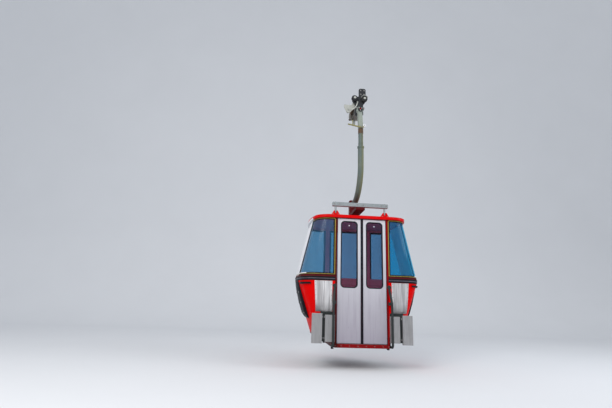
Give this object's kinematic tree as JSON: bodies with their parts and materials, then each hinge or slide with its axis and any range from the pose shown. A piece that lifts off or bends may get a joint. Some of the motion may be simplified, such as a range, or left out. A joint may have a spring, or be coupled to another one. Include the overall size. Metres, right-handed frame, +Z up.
{
  "type": "cable car cabin",
  "caption": "Closed cable car cabin with outward-swinging double doors, outside ski pockets, a curved hanger arm and a rope grip it swings from.",
  "frame": {"origin": "centre of the haul rope in the closed jaws of the grip", "axes": "+X along the rope, -Y the door side, +Z up"},
  "size_m": [1.8776, 1.2543, 4.188],
  "materials": {
    "red_paint": "semi-gloss",
    "dark_red_paint": "satin",
    "white_paint": "semi-gloss",
    "door_paint": "semi-gloss",
    "bare_aluminium": "brushed",
    "galvanised": "dull",
    "olive_steel": "satin",
    "black_rubber": "matte",
    "black_cast": "satin",
    "grey_cast": "dull",
    "tinted_glass": "gloss",
    "vinyl": "satin"
  },
  "bodies": {
    "grip": {"grip_frame": "black_cast", "grip_eye_plate": "grey_cast", "grip_fixed_jaw": "black_cast", "grip_jaw_pin": "galvanised"},
    "jaw": {"grip_jaw": "grey_cast"},
    "roller_left": {"grip_roller_left": "black_rubber"},
    "roller_right": {"grip_roller_right": "black_rubber"},
    "cabin": {"hanger_neck": "grey_cast", "hanger_latch": "olive_steel", "hanger_upper_tube": "olive_steel", "hanger_tube": "olive_steel", "hanger_socket": "dark_red_paint", "cross_member": "dark_red_paint", "roof_beams": "galvanised", "roof_posts": "galvanised", "roof_lugs": "red_paint", "roof_shell": "red_paint", "roof_rim": "red_paint", "rear_pillars": "red_paint", "door_portal": "red_paint", "door_sill": "red_paint", "belt": "black_rubber", "window_rail": "dark_red_paint", "window_gaskets": "black_rubber", "pane_front_left": "tinted_glass", "pane_front_right": "tinted_glass", "pane_rear_left": "tinted_glass", "pane_rear_right": "tinted_glass", "pane_rear_middle": "tinted_glass", "end_panel_left": "white_paint", "end_panel_right": "white_paint", "lower_panel_rear": "red_paint", "lower_panel_rear_left": "red_paint", "lower_panel_rear_right": "red_paint", "lower_panel_front_left": "red_paint", "lower_panel_front_right": "red_paint", "scuff_plates": "bare_aluminium", "rear_rub_strips": "bare_aluminium", "rear_disc": "white_paint", "end_bumpers": "black_rubber", "corner_buffers": "black_rubber", "station_feet": "black_rubber", "ski_basket_left": "bare_aluminium", "ski_basket_right": "bare_aluminium", "guard_bars": "galvanised", "underframe": "dark_red_paint", "floor_plate": "bare_aluminium", "benches": "dark_red_paint", "seat_cushion_left": "vinyl", "seat_cushion_right": "vinyl", "backrest_left": "vinyl", "backrest_right": "vinyl"},
    "door_left": {"door_leaf_left": "door_paint", "door_rubber_left": "black_rubber", "door_pane_left": "tinted_glass"},
    "door_right": {"door_leaf_right": "door_paint", "door_rubber_right": "black_rubber", "door_pane_right": "tinted_glass"}
  },
  "joints": [
    {"name": "cabin_swing", "type": "hinge", "parent": "grip", "child": "cabin", "pos_m": [0, -0.43, -0.13], "axis": [0, 1, 0], "range_deg": [-30, 30]},
    {"name": "jaw_open", "type": "hinge", "parent": "grip", "child": "jaw", "pos_m": [0, 0.016, -0.09], "axis": [-1, 0, 0], "range_deg": [0, 30], "stiffness_Nm_per_rad": 60, "springref_deg": -11.46},
    {"name": "roller_left_spin", "type": "hinge", "parent": "grip", "child": "roller_left", "pos_m": [-0.083, -0.413, 0.09], "axis": [0, 1, 0], "continuous": true},
    {"name": "roller_right_spin", "type": "hinge", "parent": "grip", "child": "roller_right", "pos_m": [0.083, -0.413, 0.09], "axis": [0, 1, 0], "continuous": true},
    {"name": "door_left_swing", "type": "hinge", "parent": "cabin", "child": "door_left", "pos_m": [-0.34, -0.552, -2.9], "axis": [0, 0, -1], "range_deg": [0, 88], "stiffness_Nm_per_rad": 6},
    {"name": "door_right_swing", "type": "hinge", "parent": "cabin", "child": "door_right", "pos_m": [0.34, -0.552, -2.9], "axis": [0, 0, 1], "range_deg": [0, 88], "stiffness_Nm_per_rad": 6}
  ],
  "couplings": [
    {"joint": "door_right_swing", "follows": "door_left_swing", "ratio": 1}
  ]
}
